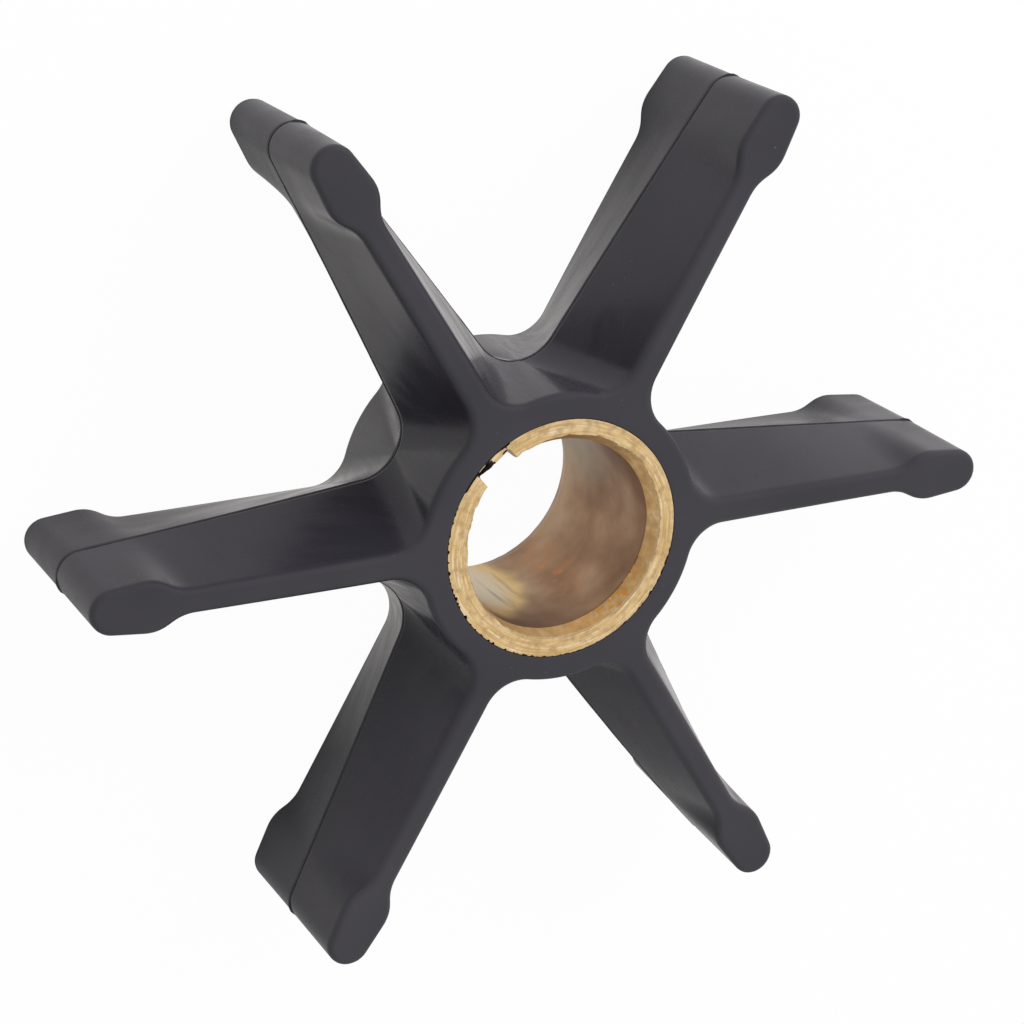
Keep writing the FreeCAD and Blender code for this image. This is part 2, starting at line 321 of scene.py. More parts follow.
def flashHeight(point):    # the parting line's flash: trimmed, uneven, with a tag left near each tip
    tipCentre = (tipRadius - vane["tipRound"] - vane["tipSwell"], 0)
    rough = noise.noise(Vector((point[0] * 0.8, point[1] * 0.8, 3.0)))
    height = vane["flashTrim"] * min(max(0.7 + 0.6 * rough, 0.2), 1)
    for k, turn in vane["tags"]:
        spot = polar(vane["tipRound"] + vane["tipSwell"], turn, tipCentre)
        spot = Matrix.Rotation(math.radians(360 * k / vane["count"]), 2) @ Vector(spot)
        share = (vane["tagHalf"] - math.dist(spot, point)) / vane["tagHalf"] * 2
        height = max(height, vane["tagProud"] * min(share, 1))
    return height


def leanVanes(star):    # each soft vane has taken a set: it leans sideways, more at one face than the other
    pitch = 2 * math.radians(halfPitch)
    for vertex in star.data.vertices:
        flat = vertex.co.xy / mm
        k = round(math.atan2(flat.y, flat.x) / pitch) % vane["count"]
        place = Matrix.Rotation(-k * pitch, 2) @ flat
        front, back, bend = vane["lean"][k]
        share = max((place.x - vane["leanStart"]) / (tipRadius - vane["leanStart"]), 0) ** bend
        level = vertex.co.z / mm / (2 * halfHeight)
        place.y += share * (back + (front - back) * level)
        vertex.co.xy = Matrix.Rotation(k * pitch, 2) @ place * mm


def makeRubber():
    face = wholeStar(faceOutline())
    parting = wholeStar(partingOutline(faceOutline()))
    targets = wholeStar(capTargets(faceOutline()))

    def level(height, proud=0.0):    # one row of the upper half; proud is a distance, or the flash's own
        share = height / halfHeight
        loop = [(a[0] + (b[0] - a[0]) * share, a[1] + (b[1] - a[1]) * share) for a, b in zip(parting, face)]
        spots = []
        for point, way in zip(loop, outwards(loop)):
            shift = proud if isinstance(proud, float) else flashHeight(point)
            shift += vane["skin"] + vane["rimSwell"] * share
            spots.append((point[0] + way.x * shift, point[1] + way.y * shift, height))
        return spots

    lip = vane["flashHalf"]
    rim = vane["rimRound"]
    rows = [level(0, "flash"), level(lip, "flash")]
    rows += [level(lip + height, -vane["flashGroove"]) for height in vane["flashRows"][:2]]
    rows += [level(lip + height) for height in vane["flashRows"][2:]]
    rows += [level(lip + (halfHeight - rim - lip) * share) for share in vane["sideRows"]]
    for turn in vane["rimTurns"]:
        turn = math.radians(turn)
        rows.append(level(halfHeight - rim * (1 - math.sin(turn)), -rim * (1 - math.cos(turn))))
    edge = level(halfHeight, -rim - vane["rimInset"])
    rows.append(edge)
    for share in vane["capRows"]:
        rows.append([
            (a[0] + (b[0] - a[0]) * share, a[1] + (b[1] - a[1]) * share, halfHeight)
            for a, b in zip(edge, targets)
        ])
    star = modelRows("rubber_star", rows)
    mergeAndFace()

    # the seat of the bushing: a small round at the face, then straight to the parting plane
    cage = bmesh.from_edit_mesh(star.data)
    for loopEdge in cage.edges:
        middle = (loopEdge.verts[0].co + loopEdge.verts[1].co) / 2
        if len(loopEdge.link_faces) == 1 and middle.z > (halfHeight - 0.1) * mm:
            loopEdge.select_set(True)
    bmesh.update_edit_mesh(star.data)
    small = vane["seatEdge"]
    turns = [math.radians(turn) for turn in vane["seatTurns"]]
    seatRows = [
        (seatRadius + small * (1 - math.sin(turn)), halfHeight - small * (1 - math.cos(turn)))
        for turn in turns
    ]
    for radius, height in seatRows + [(seatRadius, 0)]:
        bpy.ops.mesh.extrude_edges_move()
        cage = bmesh.from_edit_mesh(star.data)
        for vertex in cage.verts:
            if vertex.select:
                vertex.co.xy = vertex.co.xy.normalized() * radius * mm
                vertex.co.z = height * mm
        bmesh.update_edit_mesh(star.data)
    bpy.ops.object.mode_set(mode="OBJECT")

    mirror = star.modifiers.new("otherHalf", "MIRROR")
    mirror.use_axis = (False, False, True)
    mirror.use_clip = True
    mirror.merge_threshold = 0.002 * mm
    bpy.ops.object.modifier_apply(modifier=mirror.name)
    star.location.z = halfHeight * mm
    bpy.ops.object.transform_apply(location=True, rotation=True, scale=True)
    leanVanes(star)
    bpy.ops.object.mode_set(mode="EDIT")
    mergeAndFace()
    bpy.ops.object.mode_set(mode="OBJECT")
    bpy.ops.object.shade_smooth_by_angle(angle=math.radians(40))
    return star


# the bushing: turned from brass bar, its keyway broached nearly through the wall

bushing = {                  # millimetres, and degrees round the shaft where a note says so
    "leadInWidth": 0.41,
    "leadInDepth": 1.3,
    "mouthShift": (0.2, 0.12),    # the front lead-in was cut a little off centre,
    "leadInTilt": 0.35,      # and deeper on one side
    "tiltTurn": 250,
    "keywayHalf": 1.59,
    "keywayWeb": 0.6,
    "edgeBreak": 0.02,
    "faceSink": 0.04,        # the ring lies this far below the rubber
    # its rounded inner burr: shares of the way out over the ring, and how far down each lies
    "lip": ((0, 0.12), (0.012, 0.06), (0.03, 0.02), (0.06, 0), (0.1, 0.012), (0.16, 0.04)),
    "ringRows": (0.25, 0.36, 0.5, 0.64, 0.78, 0.9, 1),
    "coneRows": (0.04, 0.35, 0.7, 0.9),
    "outerTear": 0.19,       # how deep the torn outer edge is bitten at its worst
    "tornLeast": 0.05,       # the share of that which it is torn all round
    "tornMost": ((210, 90, 0.95), (322, 45, 0.5)),    # and where more: degrees, width in degrees, share
    "brokenPiece": (138, 147.6, 0.11),    # beside the keyway a longer piece is gone: from, to, depth
    "crack": (118, 131, 0.1),             # a fine crack follows the thin wall: from, to, depth
    "mouthWave": 0.05,       # how uneven the lead-in's upper edge is
    "mouthNick": (55, 7, 3),              # a nick in that edge: degrees, width in degrees, strength
    "webTear": 0.7,          # how deep the thin wall behind the keyway is torn away at the front face
    "webCrevice": (136.5, 9),             # where it is torn most: degrees, width in degrees
}
stepsRound = {"bore": 560, "wall": 8, "floor": 28}    # points along each stretch of the bore's outline


def near(around, middle, width):    # 1 at one place round the ring, falling to 0 either side of it
    away = abs((around - middle + 180) % 360 - 180)
    share = max(1 - away / width, 0)
    return share * share * (3 - 2 * share)


def boreOutline(radius, floor):    # the bore with its keyway, the keyway towards +X
    half = bushing["keywayHalf"]
    corner = math.degrees(math.asin(half / radius))
    edge = (radius * math.cos(math.radians(corner)), half)
    n = stepsRound
    return (
        arcPoints((0, 0), radius, corner, 360 - corner, n["bore"])
        + runPoints((edge[0], -half), (floor, -half), n["wall"])
        + runPoints((floor, -half), (floor, half), n["floor"])
        + runPoints((floor, half), edge, n["wall"])
    )


def makeBushing():
    outer = bushingRadius
    floor = outer - bushing["keywayWeb"]
    turn = Matrix.Rotation(keywayTurn, 2)
    bore = [turn @ Vector(point) for point in boreOutline(boreRadius, floor)]
    mouth = [turn @ Vector(point) for point in boreOutline(boreRadius + bushing["leadInWidth"], floor)]
    arounds = [math.degrees(math.atan2(point.y, point.x)) % 360 for point in mouth]
    level = [point @ turn for point in mouth]    # the outline with its keyway towards +X again
    inWeb = [abs(point.y) < bushing["keywayHalf"] - 0.02 and point.x > 0 for point in level]
    shift = Vector(bushing["mouthShift"])

    def coneStart(around, side):
        tilt = math.cos(math.radians(around - bushing["tiltTurn"])) * bushing["leadInTilt"] * (side > 0)
        return halfHeight - bushing["leadInDepth"] - tilt

    def torn(point, around, side):    # how far the outer edge is bitten at one place
        fine = noise.noise(Vector((point.x, point.y, side * 7.0)) * 4.4)
        coarse = noise.noise(Vector((point.x, point.y, side * 3.0)) * 0.7)
        worn = bushing["tornLeast"]
        for middle, width, share in bushing["tornMost"]:
            worn += share * near(around, middle, width)
        depth = bushing["outerTear"] * worn * min(max(fine * 2.4 + coarse * 0.5 + 0.05, 0), 1)
        start, end, bitten = bushing["brokenPiece"]
        if side > 0 and start < around < end:
            depth = max(depth, bitten)
        start, end, bitten = bushing["crack"]
        if side > 0 and start < around < end:
            depth = max(depth, bitten + bitten * coarse)
        return depth

    def webDrop(point, around, share):    # the torn thin wall behind the keyway, at the front face
        rough = noise.noise(Vector((point.x, point.y, share)) * 2.1)
        crevice = near(share, 0.4, 0.6) * near(around, *bushing["webCrevice"])
        return bushing["webTear"] * min(max(crevice * 1.9 + rough * 0.45 - 0.15, 0), 1)

    def ringRow(share, side):    # from the bore's mouth out to the edge
        row = []
        for point, around, web in zip(mouth, arounds, inWeb):
            inner = mouthSpot(point, around, web, side)
            way = point.normalized()
            out = way * (outer - bushing["edgeBreak"] - torn(way * outer, around, side))
            spot = inner.lerp(out, share)
            drop = bushing["faceSink"] if web else dict(bushing["lip"]).get(share, bushing["faceSink"])
            if web and side > 0:
                drop += webDrop(spot, around, share)
            row.append((spot.x, spot.y, side * (halfHeight - drop)))
        return row

    def mouthSpot(point, around, web, side):    # the uneven upper edge of the lead-in
        if web:
            return point
        uneven = noise.noise(Vector((point.x, point.y, side * 2.0)) * 1.3) * 2
        if side < 0:
            return point * (1 + bushing["mouthWave"] * uneven * 0.2 / point.length)
        middle, width, strength = bushing["mouthNick"]
        nick = near(around, middle, width) * strength
        uneven += 1.2 * noise.noise(Vector((point.x, point.y, 5.0)) * 4.5) - nick
        away = abs((around - math.degrees(keywayTurn) + 180) % 360 - 180)
        shifted = min(max((away - 12) / 20, 0), 1)    # the keyway's own sides stay in place
        return point * (1 + bushing["mouthWave"] * uneven / point.length) + shift * shifted

    def coneRow(share, side):
        row = []
        for start, point, around, web in zip(bore, mouth, arounds, inWeb):
            end = mouthSpot(point, around, web, side)
            spot = start.lerp(end, share)
            top = halfHeight - (bushing["faceSink"] if web else bushing["lip"][0][1])
            if web and side > 0:
                top -= webDrop(end, around, 0)
            foot = coneStart(around, side)
            row.append((spot.x, spot.y, side * (foot + (top - foot) * share)))
        return row

    def outerRow(drop, depth, bites, side):
        row = []
        for point, around in zip(mouth, arounds):
            way = point.normalized()
            spot = way * (outer - drop - bites * torn(way * outer, around, side))
            row.append((spot.x, spot.y, side * (halfHeight - bushing["faceSink"] - depth)))
        return row

    def halfProfile(side):    # the rows from the middle of the bore round to the middle of the outside
        rows = [
            [(p.x, p.y, side * coneStart(around, side) * share) for p, around in zip(bore, arounds)]
            for share in (0, 0.5, 0.98, 1)
        ]
        rows += [coneRow(share, side) for share in bushing["coneRows"]]
        rows += [ringRow(share, side) for share, _ in bushing["lip"]]
        rows += [ringRow(share, side) for share in bushing["ringRows"]]
        rows += [
            outerRow(bushing["edgeBreak"] / 2, 0.01, 1, side),
            outerRow(0, 0.05, 1, side),
            outerRow(0, 0.35, 0.6, side),
            outerRow(0, 0.7, 0, side),
        ]
        return rows

    piece = modelRows("brass_bushing_turned", halfProfile(1) + halfProfile(-1)[::-1])
    mergeAndFace()
    bpy.ops.object.mode_set(mode="OBJECT")
    piece.location.z = halfHeight * mm
    bpy.ops.object.transform_apply(location=True, rotation=True, scale=True)
    bpy.ops.object.shade_smooth_by_angle(angle=math.radians(42))
    return piece


def paintBushing(piece, faced, leadIn, boreWall, grimeAndShade):    # four finishes, told apart by where a face lies
    for material in (faced, leadIn, boreWall, grimeAndShade):
        piece.data.materials.append(material)
    turn = Matrix.Rotation(keywayTurn, 2)
    for face in piece.data.polygons:
        out = face.center.xy.length / mm
        away = min(face.center.z / mm, 2 * halfHeight - face.center.z / mm)
        place = face.center.xy @ turn / mm
        behindKey = place.x > bushingRadius - bushing["keywayWeb"] - 0.05
        inWeb = behindKey and abs(place.y) < bushing["keywayHalf"] - 0.05
        if out > boreRadius + 0.01 and away > 0.06 and abs(face.normal.z) < 0.9:
            face.material_index = 1    # the lead-in
        if away > 0.6 and out < boreRadius + 0.01 or away > 2 and out < bushingRadius - 0.3:
            face.material_index = 2    # the bore and the keyway's sides
        if face.center.z / mm < 2 and away > 0.06 and out < bushingRadius - 0.5:
            face.material_index = 2    # the far lead-in has darkened too
        # partly painted shade: the torn edge's walls take the black grime finish
        if out > bushingRadius - 0.3 and away < 0.8 and abs(face.normal.z) < 0.8:
            face.material_index = 3    # the walls of the torn outer edge
        # partly painted shade: so does the thin wall behind the keyway, down to its tilted faces
        if inWeb and away < 3 and (away > 0.12 or abs(face.normal.z) < 0.97):
            face.material_index = 3    # the thin wall behind the keyway


# materials

def linear(colour):    # an sRGB hex colour as Blender's linear one
    parts = [int(colour[i:i + 2], 16) / 255 for i in (1, 3, 5)]
    return [p / 12.92 if p <= 0.04045 else ((p + 0.055) / 1.055) ** 2.4 for p in parts] + [1.0]


def addNode(material, kind, settings=None, links=None):
    # a setting goes to the socket of that name or number, or else to the node; stops are a ramp's colours
    node = material.node_tree.nodes.new("ShaderNode" + kind)
    for name, value in (settings or {}).items():
        if name == "stops":
            ramp = node.color_ramp.elements
            ramp[0].position, ramp[-1].position = value[0][0], value[-1][0]
            for place, colour in value[1:-1]:
                ramp.new(place)
            for element, (place, colour) in zip(ramp, value):
                element.color = linear(colour)
        elif isinstance(name, int) or name in node.inputs:
            node.inputs[name].default_value = value
        else:
            setattr(node, name, value)
    for name, source in (links or {}).items():
        material.node_tree.links.new(source, node.inputs[name])
    return node


def newMaterial(name):
    material = bpy.data.materials.new(name)
    material.use_nodes = True
    material.node_tree.nodes.clear()
    return material


def perMm(size):    # a texture's scale for a pattern that repeats about every so many millimetres
    return 1 / (size * mm)


softly = {"interpolation_type": "SMOOTHSTEP"}    # for a range whose ends ease in


def mouldedNitrile():
    # nitrile rubber pressed in a steel mould: near black with a violet cast and a satin skin that
    # mirrors pale light at low angles, streaked where the rubber flowed out; duller at the end faces
    # and along the line where the flash was trimmed off, with a few specks of dust; along that line
    # the colour is also darkened as painted shade of its shallow grooves
    m = newMaterial("mouldedNitrileRubber")
    spots = addNode(m, "TexCoord").outputs["Object"]
    bloom = addNode(m, "TexNoise", {"Scale": perMm(16), "Detail": 3.0}, {"Vector": spots})
    skin = addNode(
        m, "ValToRGB", {"stops": ((0.35, "#26242b"), (0.65, "#2f2d34"))}, {"Fac": bloom.outputs["Fac"]},
    )
    parts = addNode(m, "SeparateXYZ", None, {"Vector": spots})
    fromLine = addNode(m, "Math", {"operation": "SUBTRACT", 1: halfHeight * mm}, {0: parts.outputs["Z"]})
    away = addNode(m, "Math", {"operation": "ABSOLUTE"}, {0: fromLine.outputs[0]})
    trimmedLineWithShade = addNode(
        m, "MapRange",
        {"From Min": 0.04 * mm, "From Max": 0.1 * mm, "To Min": 0.6, "To Max": 0.0, **softly},
        {"Value": away.outputs[0]},
    )
    # painted shade: the colour darkens towards #141417 along the parting line, for the shade in its shallow
    # grooves
    colour = addNode(
        m, "Mix", {"data_type": "RGBA", 7: linear("#141417")},
        {0: trimmedLineWithShade.outputs[0], 6: skin.outputs["Color"]},
    )
    specks = addNode(m, "TexNoise", {"Scale": perMm(0.35), "Detail": 1.0}, {"Vector": spots})
    dust = addNode(
        m, "MapRange", {"From Min": 0.78, "From Max": 0.84, "To Max": 0.2}, {"Value": specks.outputs["Fac"]},
    )
    dusty = addNode(
        m, "Mix", {"data_type": "RGBA", 7: linear("#8c8a90")}, {0: dust.outputs[0], 6: colour.outputs[2]},
    )
    flat = addNode(m, "VectorMath", {"operation": "MULTIPLY", 1: (1, 1, 0)}, {0: spots})
    way = addNode(m, "VectorMath", {"operation": "NORMALIZE"}, {0: flat.outputs[0]})
    fan = addNode(m, "VectorMath", {"operation": "SCALE", "Scale": 24.0}, {0: way.outputs[0]})
    drawn = addNode(
        m, "VectorMath", {"operation": "MULTIPLY_ADD", 1: (perMm(9), perMm(9), perMm(2.5))},
        {0: spots, 2: fan.outputs[0]},
    )
    flow = addNode(m, "TexNoise", {"Scale": 1.0, "Detail": 3.0}, {"Vector": drawn.outputs[0]})
    polish = addNode(
        m, "MapRange", {"From Min": 0.35, "From Max": 0.65, "To Min": 0.2, "To Max": 0.31},
        {"Value": flow.outputs["Fac"]},
    )
    matt = addNode(
        m, "MapRange", {"From Min": (halfHeight - 0.9) * mm, "From Max": (halfHeight - 0.25) * mm, **softly},
        {"Value": away.outputs[0]},
    )
    skinned = addNode(m, "Mix", {"data_type": "FLOAT", 3: 0.5}, {0: matt.outputs[0], 2: polish.outputs[0]})
    roughness = addNode(
        m, "Mix", {"data_type": "FLOAT", 3: 0.6}, {0: trimmedLineWithShade.outputs[0], 2: skinned.outputs[0]},
    )
    swell = addNode(m, "TexNoise", {"Scale": perMm(5), "Detail": 1.0}, {"Vector": spots})
    uneven = addNode(m, "Bump", {"Strength": 0.4, "Distance": 0.05 * mm}, {"Height": swell.outputs["Fac"]})
    grain = addNode(m, "TexNoise", {"Scale": perMm(0.25), "Detail": 2.0}, {"Vector": spots})
    bump = addNode(
        m, "Bump", {"Strength": 0.1, "Distance": 0.02 * mm},
        {"Height": grain.outputs["Fac"], "Normal": uneven.outputs["Normal"]},
    )
    shader = addNode(
        m, "BsdfPrincipled", {"IOR": 1.46}, {
            "Base Color": dusty.outputs[2], "Roughness": roughness.outputs[0], "Normal": bump.outputs["Normal"],
        },
    )
    addNode(m, "OutputMaterial", None, {"Surface": shader.outputs["BSDF"]})
    return m


def latheLines(m, spots, pitch, run):    # noise drawn out round the shaft's axis, as a tool's marks are
    flat = addNode(m, "VectorMath", {"operation": "MULTIPLY", 1: (1, 1, 0)}, {0: spots})
    radius = addNode(m, "VectorMath", {"operation": "LENGTH"}, {0: flat.outputs[0]})
    way = addNode(m, "VectorMath", {"operation": "NORMALIZE"}, {0: flat.outputs[0]})
    slow = addNode(m, "VectorMath", {"operation": "SCALE", "Scale": run}, {0: way.outputs[0]})
    step = addNode(m, "Math", {"operation": "MULTIPLY", 1: perMm(pitch)}, {0: radius.outputs["Value"]})
    across = addNode(m, "CombineXYZ", None, {"Z": step.outputs[0]})
    place = addNode(m, "VectorMath", {"operation": "ADD"}, {0: slow.outputs[0], 1: across.outputs[0]})
    return addNode(m, "TexNoise", {"Scale": 1.0, "Detail": 3.0}, {"Vector": place.outputs[0]})


def facedBrass():
    # free-machining brass, faced on a lathe and long in use: pale dull gold with broken rings of
    # tool marks, browner where it has tarnished; the marks are drawn about twice as coarse as real
    m = newMaterial("facedBrass")
    spots = addNode(m, "TexCoord").outputs["Object"]
    lines = latheLines(m, spots, 0.14, 3.5)
    grain = addNode(m, "TexNoise", {"Scale": perMm(0.3), "Detail": 3.0}, {"Vector": spots})
    metal = addNode(
        m, "ValToRGB",
        {"stops": ((0.3, "#d2ad74"), (0.44, "#e3c18a"), (0.56, "#eed09c"), (0.7, "#fdeccb"))},
        {"Fac": lines.outputs["Fac"]},
    )
    patches = addNode(m, "TexNoise", {"Scale": perMm(0.8), "Detail": 5.0}, {"Vector": spots})
    dull = addNode(
        m, "MapRange", {"From Min": 0.48, "From Max": 0.66, "To Max": 0.65},
        {"Value": patches.outputs["Fac"]},
    )
    tarnished = addNode(
        m, "Mix", {"data_type": "RGBA", 7: linear("#bd9c72")},
        {0: dull.outputs[0], 6: metal.outputs["Color"]},
    )
    holes = addNode(
        m, "MapRange", {"From Min": 0.58, "From Max": 0.78, "To Max": 0.35}, {"Value": grain.outputs["Fac"]},
    )
    colour = addNode(
        m, "Mix", {"data_type": "RGBA", 7: linear("#8a6c46")},
        {0: holes.outputs[0], 6: tarnished.outputs[2]},
    )
    scored = addNode(m, "Bump", {"Strength": 0.2, "Distance": 0.02 * mm}, {"Height": lines.outputs["Fac"]})
    bump = addNode(
        m, "Bump", {"Strength": 0.25, "Distance": 0.02 * mm},
        {"Height": grain.outputs["Fac"], "Normal": scored.outputs["Normal"]},
    )
    shader = addNode(
        m, "BsdfPrincipled", {"Roughness": 0.42, "Metallic": 1.0},
        {"Base Color": colour.outputs[2], "Normal": bump.outputs["Normal"]},
    )
    addNode(m, "OutputMaterial", None, {"Surface": shader.outputs["BSDF"]})
    return m


def leadInBrass():
    # the same brass on the cone, cut coarser, with painted shade making it browner and darkest on the
    # keyway's side, orange specks low on the right and a painted highlight along its lip
    m = newMaterial("tarnishedLeadInBrass")
    spots = addNode(m, "TexCoord").outputs["Object"]
    lines = latheLines(m, spots, 0.3, 9.0)
    metal = addNode(
        m, "ValToRGB", {"stops": ((0.3, "#d8ad72"), (0.5, "#eac48a"), (0.7, "#f8daa8"))},
        {"Fac": lines.outputs["Fac"]},
    )
    # the specks lie within 8 mm of a place at the lower right of the mouth
    lowerRight = addNode(
        m, "Mapping", {"Location": (-0.62, 0.78, -1.9), "Scale": (perMm(8), perMm(8), perMm(8))},
        {"Vector": spots},
    )
    away = addNode(m, "VectorMath", {"operation": "LENGTH"}, {0: lowerRight.outputs[0]})
    specks = addNode(m, "TexNoise", {"Scale": perMm(0.3), "Detail": 3.0}, {"Vector": spots})
    reach = addNode(
        m, "MapRange", {"From Min": 0.2, "From Max": 0.8, "To Min": 1.0, "To Max": 0.0},
        {"Value": away.outputs["Value"]},
    )
    strong = addNode(m, "MapRange", {"From Min": 0.48, "From Max": 0.62}, {"Value": specks.outputs["Fac"]})
    share = addNode(m, "Math", {"operation": "MULTIPLY"}, {0: reach.outputs[0], 1: strong.outputs[0]})
    colour = addNode(
        m, "Mix", {"data_type": "RGBA", 7: linear("#f8b050")},
        {0: share.outputs[0], 6: metal.outputs["Color"]},
    )
    # painted shade: towards the keyway's side the colour darkens to #a07c50
    turned = addNode(m, "VectorMath", {"operation": "DOT_PRODUCT", 1: (0.87, -0.5, 0)}, {0: spots})
    shade = addNode(
        m, "MapRange", {"From Min": -5 * mm, "From Max": 6 * mm, "To Min": 0.85, "To Max": 0.0},
        {"Value": turned.outputs["Value"]},
    )
    shaded = addNode(
        m, "Mix", {"data_type": "RGBA", 7: linear("#a07c50")}, {0: shade.outputs[0], 6: colour.outputs[2]},
    )
    parts = addNode(m, "SeparateXYZ", None, {"Vector": spots})
    # painted highlight: a pale band along the top of the lip, where its edge mirrors light
    lip = addNode(
        m, "MapRange",
        {"From Min": (2 * halfHeight - 0.25) * mm, "From Max": (2 * halfHeight - 0.05) * mm, "To Max": 0.85},
        {"Value": parts.outputs["Z"]},
    )
    paintedLipHighlight = addNode(
        m, "Mix", {"data_type": "RGBA", 7: linear("#fff0c4")}, {0: lip.outputs[0], 6: shaded.outputs[2]},
    )
    bump = addNode(m, "Bump", {"Strength": 0.3, "Distance": 0.02 * mm}, {"Height": lines.outputs["Fac"]})
    shader = addNode(
        m, "BsdfPrincipled", {"Roughness": 0.45, "Metallic": 0.6},
        {"Base Color": paintedLipHighlight.outputs[2], "Normal": bump.outputs["Normal"]},
    )
    addNode(m, "OutputMaterial", None, {"Surface": shader.outputs["BSDF"]})
    return m


stains = {                   # places on the bore's wall in millimetres, from the part's own origin
    "wipedCentre": (-4.4, -6.65, 4.6),    # the side that the shaft has wiped clean, low in the bore
    "wipedReach": (6.4, 3.4, 9.4),
    "rustCentre": (4.0, -6.8, 6.5),
    "rustReach": (2.6, 2.2, 8.5),
    "greyCentre": (6.5, 4.5, 3.0),
    "greyReach": (6.5, 6.5, 8.5),
}


def oxidisedBore():
    # the bore's brass, oxidised brown by water and heat, with orange rust flecks from the shaft and
    # one side wiped pale and scratched lengthways: grey inside, yellow round its rim
    m = newMaterial("oxidisedBoreBrass")
    spots = addNode(m, "TexCoord").outputs["Object"]
    cloud = addNode(m, "TexNoise", {"Scale": perMm(5), "Detail": 5.0}, {"Vector": spots})
    brown = addNode(
        m, "ValToRGB", {"stops": ((0.32, "#84664e"), (0.5, "#9f8065"), (0.68, "#b69a7e"))},
        {"Fac": cloud.outputs["Fac"]},
    )
    wobble = addNode(m, "TexNoise", {"Scale": perMm(3), "Detail": 1.5}, {"Vector": spots})
    small = addNode(m, "TexNoise", {"Scale": perMm(0.8), "Detail": 5.0}, {"Vector": spots})

    def reach(name):    # 0 at the middle of a stain, 1 at its edge, uneven
        centre, size = stains[name + "Centre"], stains[name + "Reach"]
        place = addNode(
            m, "Mapping",
            {"Location": [-c / s for c, s in zip(centre, size)], "Scale": [perMm(s) for s in size]},
            {"Vector": spots},
        )
        away = addNode(m, "VectorMath", {"operation": "LENGTH"}, {0: place.outputs[0]})
        uneven = addNode(
            m, "Math", {"operation": "MULTIPLY_ADD", 1: 0.3, 2: -0.15}, {0: wobble.outputs["Fac"]},
        )
        return addNode(m, "Math", {"operation": "ADD"}, {0: away.outputs["Value"], 1: uneven.outputs[0]})

    grey = addNode(
        m, "MapRange", {"From Min": 0.4, "From Max": 1.0, "To Min": 0.7, "To Max": 0.0},
        {"Value": reach("grey").outputs[0]},
    )
    rustReach = addNode(
        m, "MapRange", {"From Min": 0.3, "From Max": 1.1, "To Min": 1.0, "To Max": 0.0},
        {"Value": reach("rust").outputs[0]},
    )
    flecks = addNode(
        m, "MapRange", {"From Min": 0.52, "From Max": 0.72, "To Min": 0.1, "To Max": 0.75},
        {"Value": small.outputs["Fac"]},
    )
    rust = addNode(m, "Math", {"operation": "MULTIPLY"}, {0: rustReach.outputs[0], 1: flecks.outputs[0]})
    wiped = reach("wiped")
    rim = addNode(
        m, "MapRange", {"From Min": 0.86, "From Max": 1.1, "To Min": 0.8, "To Max": 0.0, **softly},
        {"Value": wiped.outputs[0]},
    )
    inside = addNode(
        m, "MapRange", {"From Min": 0.6, "From Max": 0.95, "To Min": 0.85, "To Max": 0.0, **softly},
        {"Value": wiped.outputs[0]},
    )
    long = addNode(m, "Mapping", {"Scale": (perMm(0.5), perMm(0.5), perMm(7))}, {"Vector": spots})
    drawn = addNode(m, "TexNoise", {"Scale": 1.0, "Detail": 3.0}, {"Vector": long.outputs[0]})
    scratched = addNode(
        m, "MapRange", {"From Min": 0.55, "From Max": 0.7, "To Max": 0.5}, {"Value": drawn.outputs["Fac"]},
    )
    marks = addNode(m, "Math", {"operation": "MULTIPLY"}, {0: scratched.outputs[0], 1: rim.outputs[0]})
    colour = brown.outputs["Color"]
    stainTints = ("#96907c", "#cc8850", "#f4d492", "#e0d5c0", "#86705a")
    for tint, share in zip(stainTints, (grey, rust, rim, inside, marks)):    # each lies over those before it
        stained = addNode(
            m, "Mix", {"data_type": "RGBA", 7: linear(tint)}, {0: share.outputs[0], 6: colour},
        )
        colour = stained.outputs[2]
    bump = addNode(m, "Bump", {"Strength": 0.15, "Distance": 0.02 * mm}, {"Height": small.outputs["Fac"]})
    shader = addNode(
        m, "BsdfPrincipled", {"Roughness": 0.45, "Metallic": 1.0},
        {"Base Color": colour, "Normal": bump.outputs["Normal"]},
    )
    addNode(m, "OutputMaterial", None, {"Surface": shader.outputs["BSDF"]})
    return m


def grimeAndPaintedShade():
    # black, with no shine to speak of: partly rubber dust and old grease pressed into the torn edges,
    # partly painted shade in their bites and under the torn top of the wall behind the keyway
    m = newMaterial("grimeAndPaintedShade")
    spots = addNode(m, "TexCoord").outputs["Object"]
    lumps = addNode(m, "TexNoise", {"Scale": perMm(0.4), "Detail": 3.0}, {"Vector": spots})
    dirtAndShade = addNode(
        m, "ValToRGB", {"stops": ((0.4, "#19191a"), (0.7, "#332d28"))}, {"Fac": lumps.outputs["Fac"]},
    )
    bump = addNode(m, "Bump", {"Strength": 0.4, "Distance": 0.04 * mm}, {"Height": lumps.outputs["Fac"]})
    shader = addNode(
        m, "BsdfPrincipled", {"Roughness": 0.75},
        {"Base Color": dirtAndShade.outputs["Color"], "Normal": bump.outputs["Normal"]},
    )
    addNode(m, "OutputMaterial", None, {"Surface": shader.outputs["BSDF"]})
    return m


# the stage: a pale floor in an even room, a window light on the upper right, a soft box on the lower
# right, and the camera; round patches painted on the floor show only in reflections: two glowing
# ones as painted reflections, and a dark one as a painted shadow

